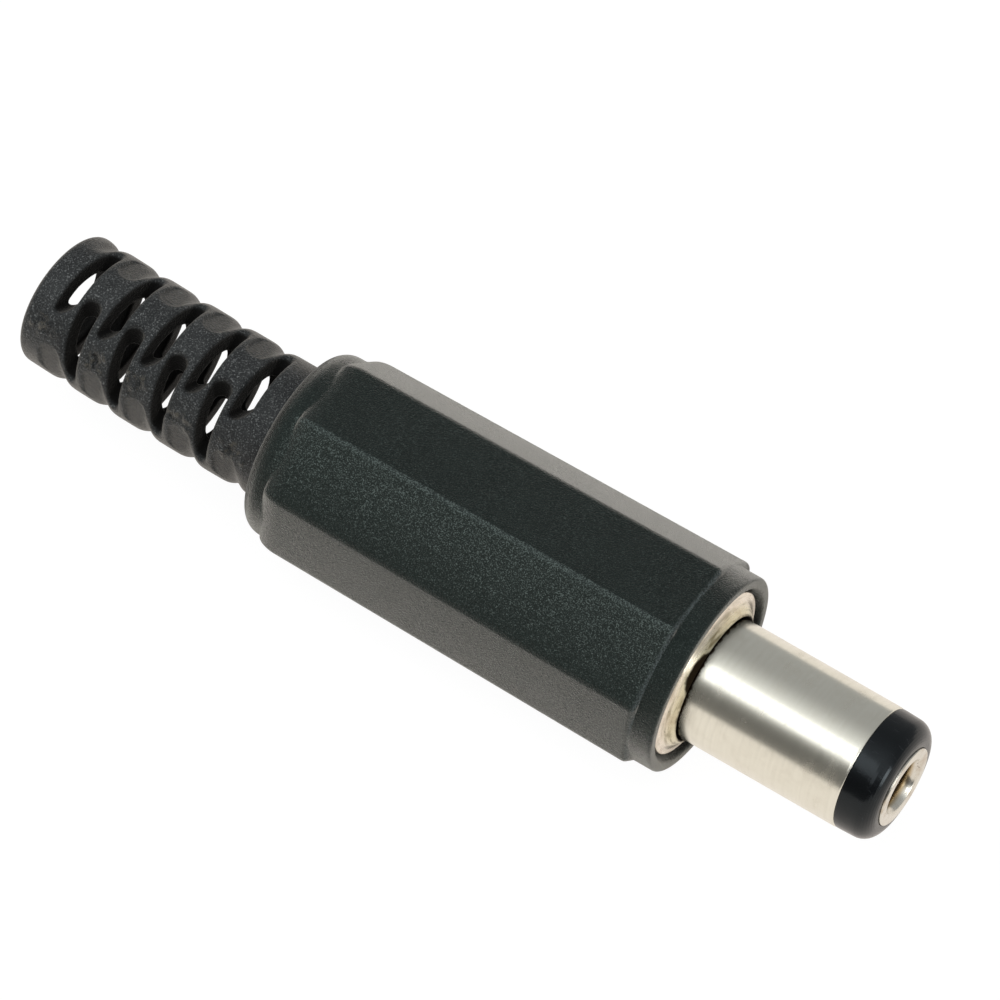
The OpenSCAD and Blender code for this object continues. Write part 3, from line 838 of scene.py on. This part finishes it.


# grained plastic: dark floor, pale specks as painted glints, painted light on the facet, corner and front edge
# that face the lamps, torn flash, painted shade in the depths, and a painted sheen at a low angle
def mouldedBlack(name, f):
    material, tree, shader = newMaterial(
        name, Roughness=f["roughness"], Specular_IOR_Level=f["specular"], Specular_Tint=f["specularTint"],
        Sheen_Weight=f["sheen"], Sheen_Roughness=f["sheenRoughness"], Sheen_Tint=f["sheenTint"])
    v = millimetres(tree)
    g = useGroup(tree, grain, Vector=v, Pitch=f["grainPitch"])
    worn = useGroup(tree, edgeWear, Vector=v, Radius=f["wornRadius"])["Worn"]
    pressed, torn, paintedShade = (node(tree, "ShaderNodeAttribute", attribute_name=mask).outputs["Fac"]
                           for mask in ("pressed", "torn", "paintedShade"))
    paintedFacetLight, edge, frontEdge = paintedLightMasks(tree, v)
    base = mixColour(tree, ramp(tree, g["Cloud"], 0.3, 0.7), f["dark"], f["light"])
    # painted light: the facet beside the top one, which faces the lamp, is painted paler
    base = mixColour(tree, paintedFacetLight, base, f["paintedFacetLight"])
    # painted highlights, on the grain's crests: along the corner beside that facet and along the octagon's
    # front edge
    paintedEdgeHighlight = mathNode(tree, "MAXIMUM", multiply(tree, edge, paintedLightPlaces["cornerHighlightShare"]), frontEdge)
    base = mixColour(tree, multiply(tree, paintedEdgeHighlight, g["Grit"]), base, f["paintedEdgeHighlight"])
    # painted glints: the pale specks, more of them on the facet and the corner that face the lamp
    bright = add(tree, multiply(tree, paintedFacetLight, paintedLightPlaces["facetPaintedGlints"]),
                 multiply(tree, edge, paintedLightPlaces["cornerPaintedGlints"]))
    bright = add(tree, bright, f["paintedGlintShare"])
    base = mixColour(tree, multiply(tree, g["PaintedGlint"], bright, clamp=True), base, f["paintedGlint"])
    base = mixColour(tree, multiply(tree, worn, f["wornShare"]), base, f["worn"])
    base = mixColour(tree, multiply(tree, pressed, g["Grit"]), base, f["pressed"])
    # torn flash is pale on its humps, with painted shade in its pits
    rag = noise(tree, v, scale=3.6, detail=5.0, rough=0.7)
    base = mixColour(tree, multiply(tree, torn, ramp(tree, rag, 0.50, 0.60)), base, f["torn"])
    base = mixColour(tree, multiply(tree, torn, ramp(tree, rag, 0.46, 0.36)), base, f["paintedShade"])
    # painted sheen: seen at a low angle the colour turns paler, more on the grain's crests, for floor light
    # scattered by the grain
    slant = node(tree, "ShaderNodeLayerWeight", Blend=0.5).outputs["Facing"]
    crests = add(tree, 0.12, multiply(tree, g["Grit"], 1.5))
    low = multiply(tree, ramp(tree, slant, 0.3, 0.78), crests, clamp=True)
    base = mixColour(tree, low, base, f["paintedGrazingSheen"])
    # painted shade in the slots, the hole and the mouth
    base = mixColour(tree, paintedShade, base, f["paintedShade"])
    marked = mathNode(tree, "MAXIMUM", multiply(tree, torn, 0.7), pressed)
    rough = subtract(tree, f["roughness"] + 0.06, multiply(tree, g["Cloud"], f["cloudGloss"]))
    rough = add(tree, rough, multiply(tree, marked, f["tornRough"]))
    feed(tree, shader, base, add(tree, rough, multiply(tree, paintedShade, f["deepRough"])))
    grained = bump(tree, shader, g["Height"], f["grainDepth"])
    bump(tree, shader, multiply(tree, torn, rag), f["tornDepth"], after=grained)
    return material


barrelFinish = {
    "nickel": (0.80, 0.795, 0.71), "streak": (0.775, 0.768, 0.68), "stain": (0.55, 0.50, 0.40),
    "dirtAndShade": (0.07, 0.05, 0.03), "darkRingEdge": (0.07, 0.16), "darkRingRag": -0.35,
    "roughness": 0.22, "streakRough": 0.04, "stainRough": 0.2, "stains": 0.35, "stainShare": 0.5,
    "lineDepth": 0.0000004,
}


# brushed round the axis, with a few stains
def satinNickel():
    f = barrelFinish
    material, tree, shader = newMaterial("satinNickel", Metallic=1.0, Roughness=f["roughness"])
    v = millimetres(tree)
    lines = useGroup(tree, turning, Vector=v)
    marks = useGroup(tree, stains, Vector=v, Amount=f["stains"])
    base = mixColour(tree, lines["Streak"], f["nickel"], f["streak"])
    base = mixColour(tree, multiply(tree, marks["Stain"], f["stainShare"]), base, f["stain"])
    # painted shade with some dirt: a darker, browner ragged ring where the barrel enters the collar
    ragged = multiply(tree, noise(tree, v, scale=3.0, detail=3.0, rough=0.6), f["darkRingRag"])
    ragged = add(tree, separate(tree, v)[0], ragged)
    base = mixColour(tree, fall(tree, ragged, *f["darkRingEdge"]), base, f["dirtAndShade"])
    rough = add(tree, f["roughness"] - 0.02, multiply(tree, lines["Streak"], f["streakRough"]))
    feed(tree, shader, base, add(tree, rough, multiply(tree, marks["Stain"], f["stainRough"])))
    bump(tree, shader, lines["Height"], f["lineDepth"])
    return material


collarFinish = {
    "nickel": (0.82, 0.76, 0.66), "golden": (0.64, 0.60, 0.40), "olive": (0.20, 0.17, 0.085),
    "stain": (0.36, 0.27, 0.17), "dirtAndShade": (0.022, 0.015, 0.008), "roughness": 0.24, "darkRingRough": 0.4,
    "streakRough": 0.2, "streakDepth": 0.000012, "stains": 0.8, "stainShare": 0.5,
    "coneEdge": (3.05, 3.45), "coneGold": 0.75,  # radii over which the worn cone ends
    "darkRingEdge": (2.68, 2.82), "darkRingToward": (-0.58, 0.815),
    "darkRingPatch": 0.25, "darkRingPatches": 0.22, "darkRingRag": 0.10, "ringScale": 7.0, "roundScale": 2.4,
}


# golden and olive round the barrel, bright further out
def agedNickel():
    f = collarFinish
    material, tree, shader = newMaterial("agedNickel", Metallic=1.0, Roughness=f["roughness"])
    v = millimetres(tree)
    flat, radius = acrossAxis(tree)
    # streaks run round the axis: noise of the direction, and of the radius on a finer scale
    unit = node(tree, "ShaderNodeVectorMath", operation="NORMALIZE")
    tree.links.new(flat, unit.inputs[0])
    _, y, z = separate(tree, unit.outputs["Vector"])
    polar = combine(tree, multiply(tree, radius, f["ringScale"]), multiply(tree, y, f["roundScale"]),
                    multiply(tree, z, f["roundScale"]))
    streaks = noise(tree, polar, scale=1.0, detail=4.0, rough=0.6)
    patches = noise(tree, unit.outputs["Vector"], scale=1.9, detail=3.0, rough=0.6)
    marks = useGroup(tree, stains, Vector=v, Amount=f["stains"])
    # the raised cone next to the barrel is worn to a golden tone, and the flat outside it is still bright
    cone = fall(tree, radius, *f["coneEdge"])
    base = mixColour(tree, multiply(tree, cone, f["coneGold"]), f["nickel"], f["golden"])
    share = add(tree, 0.25, multiply(tree, cone, 0.65))
    olive = multiply(tree, ramp(tree, streaks, 0.46, 0.66), share, clamp=True)
    base = mixColour(tree, olive, base, f["olive"])
    base = mixColour(tree, multiply(tree, marks["Stain"], f["stainShare"]), base, f["stain"])
    # painted shade with some dirt: a dark ring next to the barrel, wider on one side and in patches, and the
    # stains' specks
    toward = add(tree, multiply(tree, y, f["darkRingToward"][0]), multiply(tree, z, f["darkRingToward"][1]))
    ringWidening = add(tree, multiply(tree, ramp(tree, toward, 0.93, 1.0), f["darkRingPatch"]),
                   multiply(tree, patches, f["darkRingPatches"]))
    rag = multiply(tree, noise(tree, v, scale=7.0, detail=3.0, rough=0.6), f["darkRingRag"])
    dirtAndShade = fall(tree, subtract(tree, subtract(tree, radius, ringWidening), rag), *f["darkRingEdge"])
    dirtAndShade = mathNode(tree, "MAXIMUM", dirtAndShade, marks["Speck"])
    base = mixColour(tree, dirtAndShade, base, f["dirtAndShade"])
    rough = add(tree, f["roughness"] - 0.06, multiply(tree, streaks, f["streakRough"]))
    feed(tree, shader, base, add(tree, rough, multiply(tree, dirtAndShade, f["darkRingRough"])))
    bump(tree, shader, streaks, f["streakDepth"], strength=0.5)
    return material


noseFinish = {
    "black": (0.0022, 0.0026, 0.0034), "scuffed": (0.014, 0.0155, 0.018), "specular": 0.34,
    "specularTint": (0.80, 0.93, 1.0, 1.0), "coat": 0.05, "coatRoughness": 0.08,
    "roughness": 0.20, "scuffRough": 0.25, "waveDepth": 0.000012,
}


# polished plastic with faint scuffs and waves
def glossBlack():
    f = noseFinish
    material, tree, shader = newMaterial(
        "polishedBlack", Roughness=f["roughness"], Specular_IOR_Level=f["specular"],
        Specular_Tint=f["specularTint"], Coat_Weight=f["coat"], Coat_Roughness=f["coatRoughness"])
    scuffs = noise(tree, millimetres(tree, (1.0, 4.0, 1.0)), scale=1.6, detail=6.0, rough=0.7)
    scuffs = ramp(tree, scuffs, 0.56, 0.74)
    base = mixColour(tree, scuffs, f["black"], f["scuffed"])
    feed(tree, shader, base, add(tree, f["roughness"], multiply(tree, scuffs, f["scuffRough"])))
    waves = noise(tree, millimetres(tree), scale=3.0, detail=4.0, rough=0.6)
    bump(tree, shader, waves, f["waveDepth"], strength=0.5)
    return material


contactFinish = {
    "nickel": (0.72, 0.71, 0.645), "bore": (0.44, 0.33, 0.18), "boreEdge": (1.04, 1.16),
    "stain": (0.45, 0.36, 0.26), "speck": (0.08, 0.06, 0.04), "stains": 0.7,
    "roughness": 0.24, "streakRough": 0.12, "lineDepth": 0.000002,
}


# bright on the ring, darker and yellower inside the bore
def contactNickel():
    f = contactFinish
    material, tree, shader = newMaterial("contactNickel", Metallic=1.0, Roughness=f["roughness"])
    v = millimetres(tree)
    marks = useGroup(tree, stains, Vector=v, Amount=f["stains"])
    lines = useGroup(tree, turning, Vector=v)
    base = mixColour(tree, marks["Stain"], f["nickel"], f["stain"])
    base = mixColour(tree, marks["Speck"], base, f["speck"])
    base = mixColour(tree, fall(tree, acrossAxis(tree)[1], *f["boreEdge"]), base, f["bore"])
    rough = add(tree, f["roughness"] - 0.05, multiply(tree, lines["Streak"], f["streakRough"]))
    feed(tree, shader, base, rough)
    bump(tree, shader, lines["Height"], f["lineDepth"])
    return material


fibreFinish = {
    "light": (0.20, 0.11, 0.055), "dark": (0.10, 0.05, 0.025),
    "roughness": 0.5, "plyRough": 0.2, "fibreDepth": 0.00001,
}


# thin plies across the axis
def fibreBrown():
    f = fibreFinish
    material, tree, shader = newMaterial("laminatedFibre", Roughness=f["roughness"])
    plies = noise(tree, millimetres(tree, (9.0, 0.3, 0.3)), scale=1.0, detail=3.0, rough=0.6)
    base = mixColour(tree, ramp(tree, plies, 0.35, 0.65), f["light"], f["dark"])
    feed(tree, shader, base, add(tree, f["roughness"], multiply(tree, plies, f["plyRough"])))
    fibres = noise(tree, millimetres(tree), scale=14.0, detail=3.0, rough=0.6)
    bump(tree, shader, fibres, f["fibreDepth"], strength=0.7)
    return material


brassFinish = {
    "tin": (0.72, 0.69, 0.62), "rolled": (0.60, 0.56, 0.48), "stain": (0.36, 0.30, 0.22), "stains": 0.6,
    "brass": (0.72, 0.50, 0.20), "wornRadius": 0.0001,
    "roughness": 0.24, "rolledRough": 0.2, "rollDepth": 0.000004,
}


# tin plate with the sheet's rolling marks, worn through to brass at the edges
def tinnedBrass():
    f = brassFinish
    material, tree, shader = newMaterial("tinnedBrass", Metallic=1.0, Roughness=f["roughness"])
    v = millimetres(tree)
    marks = useGroup(tree, stains, Vector=v, Amount=f["stains"])
    worn = useGroup(tree, edgeWear, Vector=v, Radius=f["wornRadius"])
    rolled = noise(tree, millimetres(tree, (0.4, 9.0, 9.0)), scale=2.0, detail=3.0, rough=0.6)
    base = mixColour(tree, rolled, f["tin"], f["rolled"])
    base = mixColour(tree, marks["Stain"], base, f["stain"])
    base = mixColour(tree, worn["Worn"], base, f["brass"])
    feed(tree, shader, base, add(tree, f["roughness"], multiply(tree, rolled, f["rolledRough"])))
    bump(tree, shader, rolled, f["rollDepth"], strength=0.8)
    return material


gripMaterial = mouldedBlack("sparkErodedBlack", gripFinish)
reliefMaterial = mouldedBlack("flexedReliefBlack", reliefFinish)
barrelMaterial, collarMaterial = satinNickel(), agedNickel()
noseMaterial, contactMaterial = glossBlack(), contactNickel()
fibreMaterial, brassMaterial = fibreBrown(), tinnedBrass()
for piece, material in ((gripPiece, gripMaterial), (reliefPiece, reliefMaterial),
                        (barrelPiece, barrelMaterial), (collarPiece, collarMaterial),
                        (nosePiece, noseMaterial), (contactPiece, contactMaterial)):
    piece.data.materials.append(material)
for name, material in (("cover", gripMaterial), ("barrel", barrelMaterial), ("collar", collarMaterial),
                       ("tip_insulator", noseMaterial), ("centre_contact", contactMaterial),
                       ("rear_insulator", fibreMaterial), ("sleeve_terminal", brassMaterial),
                       ("centre_terminal", brassMaterial)):
    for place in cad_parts[name].material_slots:
        place.material = material
print("materials placed")

# angles are in degrees from straight up across the object, towards the front where they are negative
studio = {
    "floorSize": 1.6, "floorShadow": 0.12, "floorWhite": 1.085, "floorGloss": 0.92,  # sizes in metres
    "floorColour": (0.86, 0.86, 0.86), "floorRoughness": 0.9, "glossTint": (1.0, 0.92, 0.85),
    "lampDistance": 0.75,
    "overhead": {"angle": -28.0, "power": 1.6, "length": 1.6, "width": 0.32, "lean": -0.27},
    "end": {"angle": -32.0, "power": 0.8, "length": 0.25, "width": 0.25, "lean": 0.96},
    "sky": [(-90, 0.20), (-74, 0.15), (-63, 0.15), (-53, 0.19), (-43, 0.50), (-28, 1.08), (-12, 0.95),
            (-2, 0.76), (9, 0.56), (20, 0.43), (31, 0.37), (60, 0.40), (90, 0.40)],
    "skyStrength": 2.0, "skyFrontTint": (1.04, 1.0, 0.94), "skyBackTint": (1.0, 1.0, 1.0),
    "tintEdge": (-0.95, -0.5),
}


# pale paper that shows white behind the object, keeps a share of its shadow, and gives metal a warm white to
# mirror
def addFloor():
    low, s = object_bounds()[0].z, studio["floorSize"]
    mesh = bpy.data.meshes.new("studioFloor")
    mesh.from_pydata([(-s, -s, low), (s, -s, low), (s, s, low), (-s, s, low)], [], [(0, 1, 2, 3)])
    floor = bpy.data.objects.new("studioFloor", mesh)
    bpy.context.scene.collection.objects.link(floor)
    paper = (*studio["floorColour"], 1.0)
    material, tree, shader = newMaterial("studioPaper", Base_Color=paper, Roughness=studio["floorRoughness"])
    paths = node(tree, "ShaderNodeLightPath").outputs
    white = node(tree, "ShaderNodeEmission", Color=(1, 1, 1, 1), Strength=studio["floorWhite"])
    warm = node(tree, "ShaderNodeEmission", Color=(*studio["glossTint"], 1.0), Strength=1.0)
    shown = multiply(tree, paths["Is Camera Ray"], 1.0 - studio["floorShadow"])
    gloss = mathNode(tree, "MAXIMUM", paths["Is Glossy Ray"], paths["Is Transmission Ray"])
    surface = shader
    for share, light in ((shown, white), (multiply(tree, gloss, studio["floorGloss"]), warm)):
        mix = node(tree, "ShaderNodeMixShader")
        for socket, source in zip(mix.inputs, (share, surface.outputs[0], light.outputs[0])):
            tree.links.new(source, socket)
        surface = mix
    tree.links.new(surface.outputs[0], tree.nodes["Material Output"].inputs["Surface"])
    mesh.materials.append(material)


# a grey studio whose brightness follows the angle across the object: dark low in front, with a warmer tint, a
# soft glow round the lamp, and grey behind
def addSky():
    world = bpy.data.worlds.new("studioSky")
    bpy.context.scene.world = world
    world.use_nodes = True
    tree = world.node_tree
    back = tree.nodes["Background"]
    _, y, z = separate(tree, node(tree, "ShaderNodeTexCoord").outputs["Generated"])
    share = add(tree, multiply(tree, mathNode(tree, "ARCTAN2", y, z), 1 / math.pi), 0.5, clamp=True)
    tones = node(tree, "ShaderNodeValToRGB")
    tones.color_ramp.interpolation = "B_SPLINE"
    stops = tones.color_ramp.elements
    while len(stops) < len(studio["sky"]):
        stops.new(0.5)
    for number, (degrees, tone) in enumerate(studio["sky"]):
        stops[number].position = (degrees + 90) / 180
        stops[number].color = (*[tone / studio["skyStrength"]] * 3, 1)
    tree.links.new(share, tones.inputs["Fac"])
    tint = ramp(tree, y, *studio["tintEdge"])
    tint = mixColour(tree, tint, studio["skyFrontTint"], studio["skyBackTint"])
    tree.links.new(mixColour(tree, 1.0, tones.outputs["Color"], tint, "MULTIPLY"), back.inputs["Color"])
    back.inputs["Strength"].default_value = studio["skyStrength"]


# a flat lamp that faces the origin from an angle over the object, leaning towards its nose or tail
def addSoftbox(name, box):
    data = bpy.data.lights.new(name, "AREA")
    data.shape = "RECTANGLE"
    data.size, data.size_y = box["length"], box["width"]
    data.energy = box["power"]
    lamp = bpy.data.objects.new(name, data)
    bpy.context.scene.collection.objects.link(lamp)
    a, upright = math.radians(box["angle"]), math.sqrt(1 - box["lean"] ** 2)
    direction = Vector((box["lean"], math.sin(a) * upright, math.cos(a) * upright))
    turn = direction.to_track_quat("Z", "Y").to_matrix().to_4x4()
    lamp.matrix_world = Matrix.Translation(direction * studio["lampDistance"]) @ turn


addFloor()
addSky()
addSoftbox("overheadBox", studio["overhead"])
addSoftbox("endBox", studio["end"])
print("studio placed")
